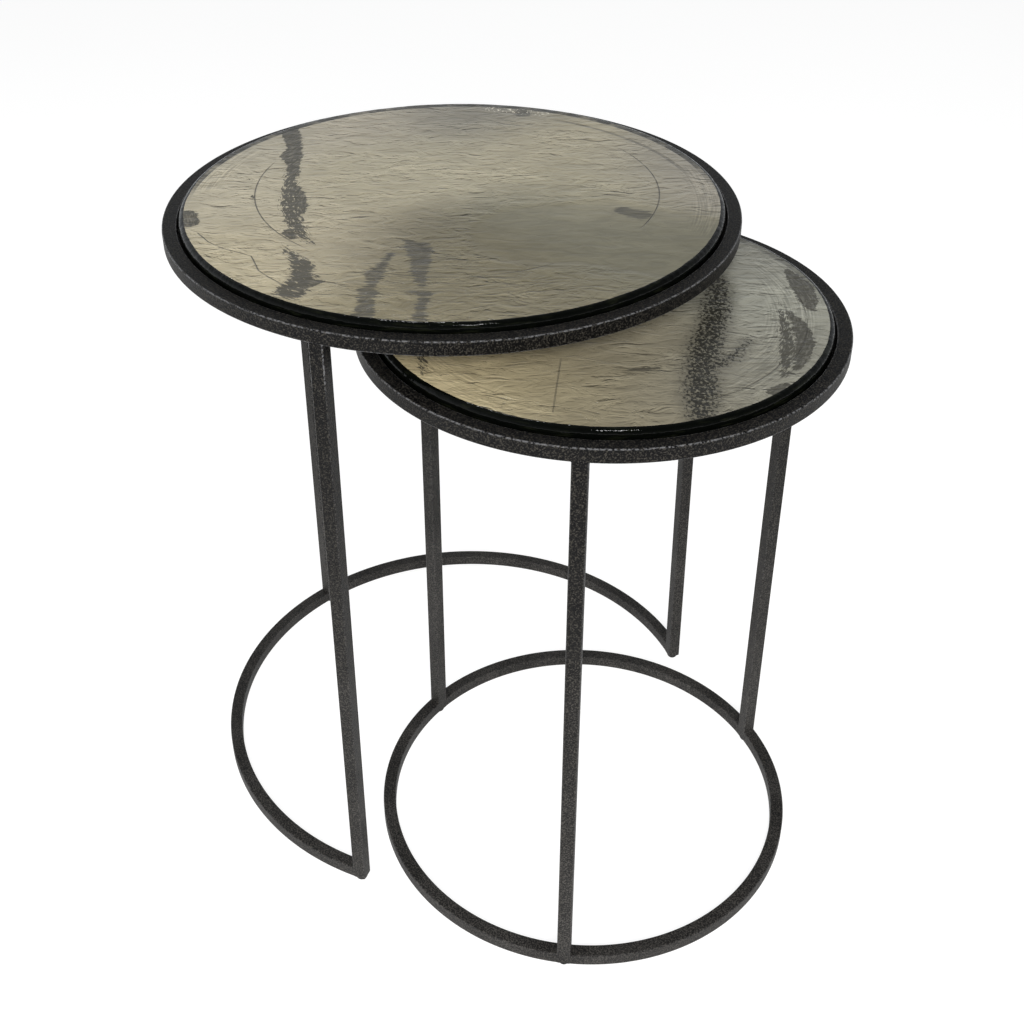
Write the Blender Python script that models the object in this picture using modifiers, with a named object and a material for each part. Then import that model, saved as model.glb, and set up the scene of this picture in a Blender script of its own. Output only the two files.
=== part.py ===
"""Two round nesting side tables: welded square-bar frames that carry loose, thick cast-glass discs.

Units are metres and degrees, with +Z up. The lower table pulls out from under the taller one along +X.
The origin lies on the floor, under the middle of the pair's overall box. Run with
blender --background --python part.py, or from Blender's text editor.
"""
import math

import bmesh
import bpy
from mathutils import Matrix

# Stock and fits
BAR = 0.0127                # side of the square bar and of the square tube
BAR_EDGE = 0.0009           # chamfer along the bar's edges
TUBE_WALL = 0.0015          # wall of the square tube that the legs are cut from
TOUCH_GAP = 0.0003          # left between pieces that touch
WELD_DISTANCE = 0.00001     # vertices closer than this are one

# Glides, pressed into the lower ends of the legs
GLIDE_HEIGHT = 0.0042       # the frame's height above the floor
GLIDE_RADIUS = 0.0059       # widest part of the dome
GLIDE_TREAD_RADIUS = 0.0030 # flat that stands on the floor
GLIDE_STEM_RADIUS = 0.0043
GLIDE_STEM_LENGTH = 0.0090

# Glass and what it lies on, heights from the top face of the ring
GLASS_PROUD = 0.0065        # the glass stands this far above the ring
GLASS_SIDE_GAP = 0.0018     # between the glass and the ring
GLASS_TOP_EDGE = 0.0045     # rounding of the upper edge
GLASS_LOWER_EDGE = 0.0010   # chamfer of the lower edge
LEDGE_WIDTH = 0.0200
LEDGE_THICKNESS = 0.0030
PAD_RADIUS = 0.0050
PAD_THICKNESS = 0.0012
PAD_COUNT = 4
PAD_FIRST_ANGLE = 45.0

# Facets
RING_STEPS = 72             # around a full ring or disc
GLIDE_STEPS = 16
PAD_STEPS = 16
GLASS_EDGE_ANGLES = (90.0, 67.5, 45.0, 22.5, 0.0)  # along the glass's rounded upper edge
GLIDE_DOME_ANGLES = (0.0, -25.0, -50.0, -75.0)     # along the dome, from its widest part downwards
SMOOTH_ANGLE = 32.0         # faces that meet at more than this keep a sharp edge
BEVEL_ANGLE = 40.0          # edges sharper than this are chamfered

# How far the lower table's centre stands in front of the taller one's, part way out
PULLED_OUT = 0.183
LARGE_BASE_RADIUS = 0.262
SMALL_BASE_RADIUS = 0.2075
LARGE_CENTRE_X = (LARGE_BASE_RADIUS - PULLED_OUT - SMALL_BASE_RADIUS) / 2

# Each leg's place is its angle about the table's centre, from +X towards +Y. A base run is a piece of
# the base bar and names the legs that it joins, in the order of rising angle.
LARGE = {
    "name": "large",
    "centre_x": LARGE_CENTRE_X,
    "top_radius": 0.255,
    "base_radius": LARGE_BASE_RADIUS,
    "ring_top": 0.616,
    "legs": {"left": 65.5, "back": 180.0, "right": 294.5},
    "base_runs": {"left": ("left", "back"), "right": ("back", "right")},
}
SMALL = {
    "name": "small",
    "centre_x": LARGE_CENTRE_X + PULLED_OUT,
    "top_radius": 0.204,
    "base_radius": SMALL_BASE_RADIUS,
    "ring_top": 0.576,
    "legs": {"left": 70.8, "back": 187.6, "right": 309.4},
    "base_runs": {"left": ("left", "back"), "right": ("back", "right"), "front": ("right", "left")},
}


def empty_scene():
    """Removes what the scene holds, so that the script always starts from nothing."""
    for obj in list(bpy.data.objects):
        bpy.data.objects.remove(obj)
    for collection in list(bpy.data.collections):
        bpy.data.collections.remove(collection)


def make_material(name, color, roughness, metallic):
    """A plain Principled BSDF material."""
    material = bpy.data.materials.new(name)
    material.use_nodes = True
    shader = material.node_tree.nodes["Principled BSDF"]
    shader.inputs["Base Color"].default_value = (*color, 1.0)
    shader.inputs["Roughness"].default_value = roughness
    shader.inputs["Metallic"].default_value = metallic
    return material


def add_object(name, data, material):
    """Links a new object for the mesh or curve into the parts collection."""
    obj = bpy.data.objects.new(name, data)
    data.materials.append(material)
    PARTS.objects.link(obj)
    return obj


def shade_round(mesh):
    """Smooth shading that keeps the real edges sharp."""
    mesh.shade_smooth()
    mesh.set_sharp_from_angle(angle=math.radians(SMOOTH_ANGLE))


def polar(radius, degrees):
    """The point at a radius and an angle about the origin, from +X towards +Y."""
    angle = math.radians(degrees)
    return radius * math.cos(angle), radius * math.sin(angle)


def chamfered_rectangle(left, bottom, right, top, chamfer):
    """Corner points of a rectangle with cut corners, clockwise from the upper left.

    The right side runs downwards, as a profile to be turned about an axis on its left has to.
    """
    return [
        (left, top - chamfer), (left + chamfer, top),
        (right - chamfer, top), (right, top - chamfer),
        (right, bottom + chamfer), (right - chamfer, bottom),
        (left + chamfer, bottom), (left, bottom + chamfer),
    ]


def turned(name, profile, closed, steps, material):
    """Turns a profile of (radius, height) points about Z with a Screw modifier, then welds the result."""
    mesh = bpy.data.meshes.new(name + "_profile")
    edges = [(i, i + 1) for i in range(len(profile) - 1)]
    if closed:
        edges.append((len(profile) - 1, 0))
    mesh.from_pydata([(radius, 0.0, height) for radius, height in profile], edges, [])
    guide = bpy.data.objects.new(name + "_profile", mesh)
    PARTS.objects.link(guide)
    screw = guide.modifiers.new("turn", "SCREW")
    screw.axis = "Z"
    screw.angle = math.tau
    screw.steps = steps
    screw.render_steps = steps
    screw.use_merge_vertices = True
    screw.merge_threshold = WELD_DISTANCE
    obj = add_object(name, welded_mesh(guide, name), material)
    bpy.data.objects.remove(guide)
    shade_round(obj.data)
    return obj


def welded_mesh(source, name):
    """The source's evaluated shape as a mesh without double vertices."""
    graph = bpy.context.evaluated_depsgraph_get()
    mesh = bpy.data.meshes.new_from_object(source.evaluated_get(graph))
    mesh.name = name
    welded = bmesh.new()
    welded.from_mesh(mesh)
    bmesh.ops.remove_doubles(welded, verts=welded.verts, dist=WELD_DISTANCE)
    welded.to_mesh(mesh)
    welded.free()
    mesh.materials.clear()
    return mesh


def extruded(name, outlines, thickness, material):
    """A flat shape with one or more closed outlines, extruded evenly about its own plane."""
    curve = bpy.data.curves.new(name + "_outline", "CURVE")
    curve.dimensions = "2D"
    curve.fill_mode = "BOTH"
    curve.extrude = thickness / 2
    for outline in outlines:
        spline = curve.splines.new("POLY")
        spline.points.add(len(outline) - 1)
        for point, (x, y) in zip(spline.points, outline):
            point.co = (x, y, 0.0, 1.0)
        spline.use_cyclic_u = True
    guide = bpy.data.objects.new(name + "_outline", curve)
    PARTS.objects.link(guide)
    obj = add_object(name, welded_mesh(guide, name), material)
    bpy.data.objects.remove(guide)
    bpy.data.curves.remove(curve)
    return obj


def bar_end_offset(radius):
    """Degrees between a leg's middle and the end of a base run at this radius, square to the leg's side."""
    return math.degrees(math.asin((BAR / 2 + TOUCH_GAP) / radius))


def arc_points(radius, start, end, count):
    """Points on a level arc, both ends included."""
    return [polar(radius, start + (end - start) * i / count) for i in range(count + 1)]


def make_top_ring(table):
    """The rolled square bar that rims the table's top."""
    outer = table["top_radius"]
    top = table["ring_top"]
    profile = chamfered_rectangle(outer - BAR, top - BAR, outer, top, BAR_EDGE)
    return turned(table["name"] + "_top_ring", profile, True, RING_STEPS, POWDER_COAT)


def ledge_top(table):
    """Height of the face that the pads lie on."""
    return table["ring_top"] - BAR + LEDGE_THICKNESS


def make_glass_ledge(table):
    """Flat ring inside the top ring, level with its underside, that carries the glass."""
    outer = table["top_radius"] - BAR - TOUCH_GAP
    inner = outer - LEDGE_WIDTH
    top = ledge_top(table)
    bottom = top - LEDGE_THICKNESS
    profile = [(inner, top), (outer, top), (outer, bottom), (inner, bottom)]
    return turned(table["name"] + "_glass_ledge", profile, True, RING_STEPS, POWDER_COAT)


def make_glass_pads(table):
    """Thin soft discs between the ledge and the glass."""
    pads = []
    radius = table["top_radius"] - BAR - LEDGE_WIDTH / 2
    for i in range(PAD_COUNT):
        name = f"{table['name']}_glass_pad_{i + 1}"
        shape = bmesh.new()
        bmesh.ops.create_cone(
            shape, cap_ends=True, segments=PAD_STEPS, radius1=PAD_RADIUS, radius2=PAD_RADIUS, depth=PAD_THICKNESS)
        mesh = bpy.data.meshes.new(name)
        shape.to_mesh(mesh)
        shape.free()
        shade_round(mesh)
        pad = add_object(name, mesh, SILICONE)
        x, y = polar(radius, PAD_FIRST_ANGLE + i * 360.0 / PAD_COUNT)
        pad.location = (x, y, ledge_top(table) + TOUCH_GAP + PAD_THICKNESS / 2)
        pads.append(pad)
    return pads


def make_glass_top(table):
    """Cast-glass disc with a rounded upper edge, lying on the pads."""
    radius = table["top_radius"] - BAR - GLASS_SIDE_GAP
    top = table["ring_top"] + GLASS_PROUD
    bottom = ledge_top(table) + PAD_THICKNESS + 2 * TOUCH_GAP
    profile = [(0.0, top)]
    for degrees in GLASS_EDGE_ANGLES:
        across, up = polar(GLASS_TOP_EDGE, degrees)
        profile.append((radius - GLASS_TOP_EDGE + across, top - GLASS_TOP_EDGE + up))
    profile += [(radius, bottom + GLASS_LOWER_EDGE), (radius - GLASS_LOWER_EDGE, bottom), (0.0, bottom)]
    return turned(table["name"] + "_glass_top", profile, False, RING_STEPS, GLASS)


def place_under_ring(obj, table, degrees, height):
    """Stands a leg or a glide, made about its own axis, at a leg's angle and in line with its slight splay."""
    splay = math.atan((table["base_radius"] - table["top_radius"]) / table["ring_top"])
    at_floor = table["base_radius"] - BAR / 2
    x, y = polar(at_floor - height * math.tan(splay), degrees)
    obj.matrix_world = (
        Matrix.Translation((x, y, height))
        @ Matrix.Rotation(math.radians(degrees), 4, "Z")
        @ Matrix.Rotation(-splay, 4, "Y"))


def make_leg(table, side):
    """Square tube leg from just above the floor to the underside of the top ring."""
    lower = GLIDE_HEIGHT
    upper = table["ring_top"] - BAR - TOUCH_GAP
    half = BAR / 2
    bore = half - TUBE_WALL
    outer = chamfered_rectangle(-half, -half, half, half, BAR_EDGE)
    inner = [(-bore, -bore), (bore, -bore), (bore, bore), (-bore, bore)]
    leg = extruded(f"{table['name']}_leg_{side}", [outer, inner], upper - lower, POWDER_COAT)
    place_under_ring(leg, table, table["legs"][side], (lower + upper) / 2)
    return leg


def make_glide(table, side):
    """Domed glide: a round stem up the leg's bore and a dome with a small flat tread below it."""
    profile = [
        (0.0, GLIDE_STEM_LENGTH), (GLIDE_STEM_RADIUS, GLIDE_STEM_LENGTH), (GLIDE_STEM_RADIUS, -TOUCH_GAP)]
    dome_height = GLIDE_HEIGHT - TOUCH_GAP
    for degrees in GLIDE_DOME_ANGLES:
        across, down = polar(1.0, degrees)
        radius = GLIDE_TREAD_RADIUS + (GLIDE_RADIUS - GLIDE_TREAD_RADIUS) * across
        profile.append((radius, -TOUCH_GAP + dome_height * down))
    profile += [(GLIDE_TREAD_RADIUS, -GLIDE_HEIGHT), (0.0, -GLIDE_HEIGHT)]
    glide = turned(f"{table['name']}_glide_{side}", profile, False, GLIDE_STEPS, RUBBER)
    x, y = polar(table["base_radius"] - BAR / 2, table["legs"][side])
    glide.location = (x, y, GLIDE_HEIGHT)
    return glide


def make_base_run(table, side):
    """Curved square bar between two legs, its ends cut square to the legs' sides."""
    first, last = (table["legs"][leg] for leg in table["base_runs"][side])
    if last < first:
        last += 360.0
    outer = table["base_radius"]
    inner = outer - BAR
    count = round((last - first) * RING_STEPS / 360.0)
    outline = arc_points(outer, first + bar_end_offset(outer), last - bar_end_offset(outer), count)
    outline += arc_points(inner, last - bar_end_offset(inner), first + bar_end_offset(inner), count)
    run = extruded(f"{table['name']}_base_arc_{side}", [outline], BAR, POWDER_COAT)
    run.location.z = GLIDE_HEIGHT + BAR / 2
    chamfer = run.modifiers.new("edges", "BEVEL")
    chamfer.width = BAR_EDGE
    chamfer.segments = 1
    chamfer.limit_method = "ANGLE"
    chamfer.angle_limit = math.radians(BEVEL_ANGLE)
    return run


def make_table(table):
    """Every piece of one table, parented to an empty on the floor at the table's centre."""
    pieces = [make_top_ring(table), make_glass_ledge(table), make_glass_top(table)]
    pieces += make_glass_pads(table)
    for side in table["legs"]:
        pieces += [make_leg(table, side), make_glide(table, side)]
    pieces += [make_base_run(table, side) for side in table["base_runs"]]
    centre = bpy.data.objects.new(table["name"] + "_table", None)
    PARTS.objects.link(centre)
    centre.location.x = table["centre_x"]
    for piece in pieces:
        piece.parent = centre


empty_scene()
PARTS = bpy.data.collections.new("nesting_tables")
bpy.context.scene.collection.children.link(PARTS)

POWDER_COAT = make_material("powder_coat", (0.030, 0.029, 0.030), 0.50, 0.30)
GLASS = make_material("mirror_backed_glass", (0.40, 0.38, 0.31), 0.08, 0.90)
RUBBER = make_material("black_rubber", (0.010, 0.010, 0.010), 0.60, 0.0)
SILICONE = make_material("clear_silicone", (0.60, 0.60, 0.58), 0.40, 0.0)

for nesting_table in (LARGE, SMALL):
    make_table(nesting_table)
bpy.context.view_layer.update()
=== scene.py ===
"""Looks for a pair of round nesting side tables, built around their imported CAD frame.

Units are metres and degrees, with +Z up, in the frame's own coordinates. Every mesh is made where it stands,
so an object's own coordinates are the frame's at rest and ride along with it. Each glass is painted in
(u, v) about its own centre: u runs along the grain of the cast glass, and v across it.
"""

import math

import bmesh
import bpy
import numpy as np
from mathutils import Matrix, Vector, noise


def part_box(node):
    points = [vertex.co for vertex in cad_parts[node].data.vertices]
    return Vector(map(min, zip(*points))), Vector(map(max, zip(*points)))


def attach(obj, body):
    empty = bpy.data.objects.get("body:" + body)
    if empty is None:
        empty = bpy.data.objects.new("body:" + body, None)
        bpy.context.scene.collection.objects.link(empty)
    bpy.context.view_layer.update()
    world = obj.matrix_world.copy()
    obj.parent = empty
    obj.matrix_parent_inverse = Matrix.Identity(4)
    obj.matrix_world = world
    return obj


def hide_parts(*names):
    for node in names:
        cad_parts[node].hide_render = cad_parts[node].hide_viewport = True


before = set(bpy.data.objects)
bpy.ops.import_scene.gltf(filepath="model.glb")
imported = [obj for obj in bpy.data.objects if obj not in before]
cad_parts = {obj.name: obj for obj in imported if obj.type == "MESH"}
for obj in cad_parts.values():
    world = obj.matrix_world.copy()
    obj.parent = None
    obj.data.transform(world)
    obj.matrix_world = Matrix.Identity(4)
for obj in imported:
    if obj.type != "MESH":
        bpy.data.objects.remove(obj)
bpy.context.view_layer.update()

# ---------------- driving values

# Camera
CAMERA_PLACE = (0.7910, -0.7361, 1.106)
CAMERA_HEADING = 136.64         # way that it looks, from +X towards +Y
CAMERA_DIP = 32.70              # degrees below the horizon
CAMERA_LENS = 47.79             # mm, on the usual 36 mm sensor
CAMERA_SHIFT = -0.0877          # shows more below the line of sight than above it

# Steel frames
BAR_EDGE = 0.0013               # rounding of the bar's edges
EDGE_STEPS = 4                  # facets of each rounded edge
RING_STEPS = 288                # around a full ring
BASE_STEP = 0.0030              # along a base bar
OVERLAP = 0.0008                # how far a bar's end goes into what it is welded to
LEDGE_WIDTH = 0.0200
LEDGE_EDGE = 0.0004             # broken edge of the ledge's hole
WELD_RADIUS = 0.0023            # hollow fillet at each welded corner
WELD_STEPS = 10                 # along a fillet
WELD_ARC_STEPS = 6              # across a fillet
WELD_LUMPS = 0.10               # unevenness of a fillet, as a share of its size

# Angle past which an edge is drawn sharp
BAR_SHARP = 50.0
LEDGE_SHARP = 30.0
FILLET_SHARP = 70.0
GLASS_SHARP = 60.0

# Glides
GLIDE_STEPS = 40
GLIDE_DOME_STEPS = 8
GLIDE_TREAD_RADIUS = 0.0030
GLIDE_STEM_RADIUS = 0.0043

# Cast glass
GRAIN_HEADING = 46.6            # way that u runs, from +X towards +Y
GLASS_EDGE = 0.0045             # rounding of the upper edge
GLASS_LOWER_EDGE = 0.0010
GLASS_RINGS = 104               # from the middle to the rounded edge
GLASS_STEPS = 420               # around the disc
GLASS_EDGE_STEPS = 8
RIPPLE_LENGTH = 0.026           # along u
RIPPLE_WIDTH = 0.0095           # along v
RIPPLE_HEIGHT = 0.00028
RIPPLE_BEND = 0.060             # length over which the ripples bend
RIPPLE_PATCH = 0.080            # length over which they come and go
RIM_WAVE_HEIGHT = 0.00045       # unevenness of the rim, up and down and in and out
RIM_WAVE_LENGTH = 0.030
RIM_WAVE_LIFT = 0.6             # share of the rim's waves that goes up and down
RIM_BLEND = 0.018               # width over which the top takes on the rim's waves
FOIL_MARGIN = 0.0003            # bare glass left between the backing and the rounded edge
MARK_REACH = 0.0300             # marks are drawn up to this far from their outline


# Tones of the aged backing with painted reflection and light in them: brighter towards -u as a painted
# reflection, and parts of the small disc lightened as painted light against the large top's shade. (u, v,
# colour on screen), blended softly over the disc
LARGE_TONES_AND_LIGHT = [
    (-0.200, 0.000, (178, 170, 148)), (-0.190, 0.120, (172, 165, 146)), (-0.100, 0.180, (168, 160, 142)),
    (-0.090, 0.040, (168, 160, 136)), (-0.110, -0.120, (172, 163, 140)), (-0.160, -0.150, (178, 168, 140)),
    (-0.040, 0.080, (169, 162, 139)), (0.000, 0.190, (128, 124, 112)), (0.070, 0.110, (166, 158, 134)),
    (0.130, 0.040, (162, 155, 131)), (0.205, 0.060, (142, 137, 126)), (0.095, -0.060, (121, 118, 100)),
    (0.040, -0.140, (104, 98, 76)), (-0.040, -0.200, (130, 122, 97)), (0.150, -0.120, (114, 111, 93)),
    (-0.024, -0.122, (98, 92, 72)), (0.015, -0.175, (122, 115, 92)),
    (0.070, -0.215, (116, 110, 90)),
]
SMALL_TONES_AND_LIGHT = [
    (-0.130, -0.110, (198, 184, 148)), (-0.080, -0.110, (176, 164, 132)), (-0.040, -0.150, (134, 126, 103)),
    (0.000, -0.060, (154, 147, 127)), (0.030, -0.120, (122, 116, 99)), (0.105, -0.100, (131, 130, 119)),
    (0.130, 0.040, (152, 152, 140)), (0.150, 0.110, (129, 128, 119)), (-0.100, 0.080, (160, 151, 131)),
    (0.000, 0.100, (150, 144, 127)),
]
TONE_SPREAD = 0.045

# Marks in the backing, as strokes through (u, v, half width). Solid ones are bare patches with a jagged
# outline, scratched ones are broken into fine strokes round the disc, hazy ones are faint stains, speckled
# ones are dark blots, calm ones have hardly a ripple, brushed ones have fine lines round the disc, and the
# last kind holds painted glints: bright specks of light.
MARK_KINDS = ("solid", "scratched", "hazy", "speckled", "calm", "brushed", "glint_marks")
LARGE_MARKS = {
    "solid": [
        [(-0.168, 0.164, 0.009), (-0.163, 0.140, 0.009), (-0.157, 0.112, 0.006), (-0.157, 0.094, 0.011),
         (-0.152, 0.072, 0.006), (-0.149, 0.048, 0.006)],
        [(-0.142, 0.018, 0.003), (-0.137, 0.000, 0.0055), (-0.131, -0.024, 0.005), (-0.130, -0.038, 0.002)],
        [(-0.136, -0.078, 0.006), (-0.131, -0.089, 0.004)],
        [(-0.229, -0.043, 0.0095), (-0.223, -0.060, 0.008)],
        [(-0.108, -0.173, 0.008), (-0.098, -0.170, 0.003)],
        [(-0.179, -0.003, 0.002), (-0.177, -0.006, 0.001)],
        [(-0.046, -0.119, 0.0006), (-0.054, -0.146, 0.0016)],
        [(-0.024, -0.100, 0.0014), (-0.019, -0.116, 0.0022)],
        [(-0.066, -0.217, 0.0020), (-0.062, -0.220, 0.0012)],
    ],
    "scratched": [
        [(-0.158, 0.150, 0.008), (-0.153, 0.110, 0.010), (-0.152, 0.062, 0.010), (-0.148, 0.020, 0.012),
         (-0.143, -0.020, 0.014), (-0.134, -0.058, 0.013), (-0.122, -0.088, 0.009), (-0.110, -0.104, 0.005)],
        [(-0.140, -0.100, 0.004), (-0.127, -0.122, 0.010), (-0.116, -0.142, 0.015), (-0.113, -0.164, 0.016),
         (-0.119, -0.188, 0.018)],
    ],
    "hazy": [
        [(-0.046, -0.118, 0.001), (-0.052, -0.140, 0.004), (-0.057, -0.158, 0.008), (-0.058, -0.176, 0.003)],
        [(-0.060, -0.186, 0.008), (-0.059, -0.204, 0.006), (-0.060, -0.228, 0.009)],
        [(-0.033, -0.097, 0.004), (-0.025, -0.108, 0.011), (-0.022, -0.130, 0.008), (-0.022, -0.152, 0.007),
         (-0.018, -0.176, 0.003)],
        [(-0.030, -0.188, 0.001), (-0.014, -0.190, 0.004), (-0.017, -0.208, 0.003), (-0.017, -0.232, 0.005)],
        [(0.150, -0.034, 0.008), (0.164, -0.042, 0.009)],
        [(0.062, 0.222, 0.005), (0.063, 0.206, 0.008)],
    ],
    "calm": [
        [(0.075, -0.082, 0.055), (0.130, -0.078, 0.062), (0.185, -0.100, 0.060)],
    ],
    "brushed": [
        [(-0.060, -0.176, 0.022), (0.010, -0.186, 0.024), (0.080, -0.180, 0.016)],
        [(0.218, 0.060, 0.008), (0.228, 0.000, 0.009), (0.216, -0.070, 0.010)],
        [(-0.200, 0.100, 0.008), (-0.224, 0.020, 0.008)],
    ],
    # painted glints: bright specks of light
    "glint_marks": [
        [(0.030, 0.222, 0.006), (0.060, 0.216, 0.008), (0.086, 0.206, 0.005)],
    ],
}
SMALL_MARKS = {
    "solid": [
        [(0.164, 0.064, 0.003), (0.171, 0.034, 0.010), (0.172, 0.008, 0.008), (0.172, -0.006, 0.004)],
        [(0.152, -0.012, 0.003), (0.157, -0.034, 0.006), (0.157, -0.062, 0.008), (0.150, -0.086, 0.006),
         (0.142, -0.104, 0.003)],
        [(0.119, -0.137, 0.005), (0.131, -0.127, 0.003)],
    ],
    "scratched": [
        [(-0.143, -0.084, 0.008), (-0.140, -0.110, 0.007)],
        [(0.148, 0.020, 0.003), (0.146, -0.020, 0.008), (0.142, -0.070, 0.012), (0.132, -0.112, 0.008)],
    ],
    "hazy": [
        [(0.014, -0.108, 0.002), (0.036, -0.103, 0.003)],
    ],
    "brushed": [
        [(0.150, 0.080, 0.012), (0.158, 0.000, 0.018), (0.140, -0.080, 0.018), (0.100, -0.130, 0.012)],
        [(-0.140, -0.080, 0.012), (-0.100, -0.140, 0.012), (-0.040, -0.166, 0.010)],
    ],
    "speckled": [
        [(0.103, 0.044, 0.011), (0.095, 0.000, 0.016), (0.087, -0.035, 0.015), (0.078, -0.068, 0.017),
         (0.071, -0.100, 0.016), (0.066, -0.140, 0.017), (0.062, -0.172, 0.013)],
        [(0.112, -0.060, 0.005), (0.098, -0.084, 0.008), (0.080, -0.100, 0.010)],
    ],
}

# Dark mould lines in the glass: arcs as (u, v, radius, from angle, to angle, half width, strength), and
# straight runs through (u, v) points
THIN = 0.0008
LARGE_ARCS = [
    (-0.003, 0.024, 0.1755, 160.0, 232.0, THIN, 1.0),
    (0.012, 0.016, 0.1720, -32.0, 36.0, THIN, 1.0),
    (0.000, -0.004, 0.2380, 3.0, 186.0, 0.0062, 1.2),
    (-0.004, -0.012, 0.2250, 14.0, 66.0, 0.0024, 0.6),
    (0.000, 0.000, 0.1620, 242.0, 304.0, THIN, 1.0),
]
SMALL_ARCS = [
    (0.000, -0.004, 0.1660, -38.0, 10.0, THIN, 1.0),
    (0.004, -0.010, 0.1540, -64.0, -30.0, THIN, 1.0),
    (0.000, -0.004, 0.1870, -5.0, 186.0, 0.0058, 1.2),
]
LARGE_CREASES = [
    (-0.212, -0.080), (-0.200, -0.097), (-0.185, -0.110), (-0.170, -0.118), (-0.160, -0.124),
    (-0.156, -0.134), (-0.150, -0.150), (-0.140, -0.162), (-0.128, -0.174), (-0.118, -0.180),
]
SMALL_CREASES = [(-0.036, -0.088), (-0.040, -0.126), (-0.044, -0.165)]

# What each glass shows. Boldness is how dark its mould lines are, and the seed gives it its own textures.
LOOKS = {
    "large": {"tones_and_light": LARGE_TONES_AND_LIGHT, "marks": LARGE_MARKS, "arcs": LARGE_ARCS, "creases": LARGE_CREASES,
              "boldness": 0.85, "seed": 1.0},
    "small": {"tones_and_light": SMALL_TONES_AND_LIGHT, "marks": SMALL_MARKS, "arcs": SMALL_ARCS, "creases": SMALL_CREASES,
              "boldness": 0.45, "seed": 2.0},
}

# Textures of the backing: size along u and v
RIPPLE_TEXTURE = (0.024, 0.0105)
SMEAR_TEXTURE = (0.070, 0.035)
# painted shade lines under the ripples
SHADE_LINE_TEXTURE = (0.017, 0.0060)
BAND_TEXTURE = (0.030, 0.0026)
RIPPLE_STEP = (0.0002, 0.0013, 0.0)     # step over which a ripple's slope is taken
DOT_SPACING = 0.017
BRUSHED_LINES = (0.0016, 5.0)           # strokes round the disc: width, and how many to a radian
SCRATCHED_LINES = (0.0019, 20.0)

# Other textures, in cells to a metre
COAT_PEBBLES = 760.0
COAT_GRAIN = 760.0
COAT_RUBS = 560.0
COAT_CLOUDS = 18.0
RUBBER_GRAIN = 1400.0
RUBBER_SPECKS = 300.0
SILICONE_GRAIN = 500.0
PAINT_STREAKS = 14.0
PAINT_STIPPLE = 700.0
RIM_WAVES = 120.0
RIM_STREAKS = 60.0
# grain of the painted glints
GLINT_GRAIN = 330.0
FAINT_PATCHES = 60.0
EDGE_WANDER = 70.0
JAGGED_EDGES = 150.0
SPECK_GRAIN = 370.0
FLOOR_CLOUDS = 1.5

# Heights over which the powder coat's rubbed edges take on a painted highlight, and over which painted light
# from the floor comes in
HIGHLIGHT_FROM, HIGHLIGHT_TO = 0.560, 0.573
# painted light from the floor: the coat gets lighter towards the bottom
BOUNCE_FROM, BOUNCE_TO = 0.60, 0.02

# Colours on screen
COAT_DARK, COAT_FLECK = (2, 2, 3), (50, 48, 44)
# rubbed edges, lighter up on the rings as a painted highlight, and painted light from the floor on the coat
COAT_RUBBED_AND_HIGHLIGHT, COAT_BOUNCE_LIGHT = (124, 125, 128), (90, 88, 86)
RUBBER_BLACK, RUBBER_DUST = (7, 7, 7), (26, 25, 24)
SILICONE_CLEAR, SILICONE_HAZE = (186, 186, 180), (206, 206, 201)
PAINT_DARK, PAINT_LIGHT = (58, 58, 56), (80, 79, 76)
RIM_DARK, RIM_GREEN = (3, 4, 3), (16, 18, 11)
# painted shade lines under the ripples
SHADE_LINE_COLOR = (62, 58, 46)
MARK_COLOR = (66, 64, 57)
BLOT_COLOR = (26, 25, 21)
# painted glints
GLINT_COLOR = (228, 222, 205)
LINE_COLOR = (52, 50, 42)
DOT_COLOR = (38, 36, 30)
BARE_EDGE_COLOR = (9, 11, 8)

# Floor and sky
FLOOR_RADIUS = 14.0
FLOOR_STEPS = 96
FLOOR_DARK, FLOOR_LIGHT = 0.29, 0.31    # linear greys
FLOOR_GLOW = 0.84
SKY_COLOR = (0.93, 0.965, 1.0, 1.0)
SKY_HEADING = 40.0                      # brightest side, from the camera's heading
SKY_SIDES = (0.14, 0.80)                # strength away from the brightest side, and at it
SKY_HEIGHTS = (1.0, 0.26)               # share of it low down, and overhead
SKY_SEEN = 0.94                         # least strength where the sky itself is seen

# Soft lights: heading from the camera's, elevation, distance, size, power, whether gloss shows it, colour
WHITE = (1.0, 1.0, 1.0)
SOFTBOXES = {
    "key": (180.0, 27.0, 3.2, 1.6, 142.0, False, (1.0, 0.975, 0.93)),
    "left": (95.0, 30.0, 2.6, 1.2, 12.0, False, WHITE),
    "right": (-95.0, 30.0, 2.6, 1.2, 12.0, False, WHITE),
    "edge": (190.0, 58.0, 3.0, 0.30, 14.0, True, WHITE),
    "glint": (12.0, 56.0, 3.0, 0.20, 5.0, True, WHITE),
}
LIGHT_TARGET = (0.0, 0.0, 0.5)


# ---------------- what the frame says

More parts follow.
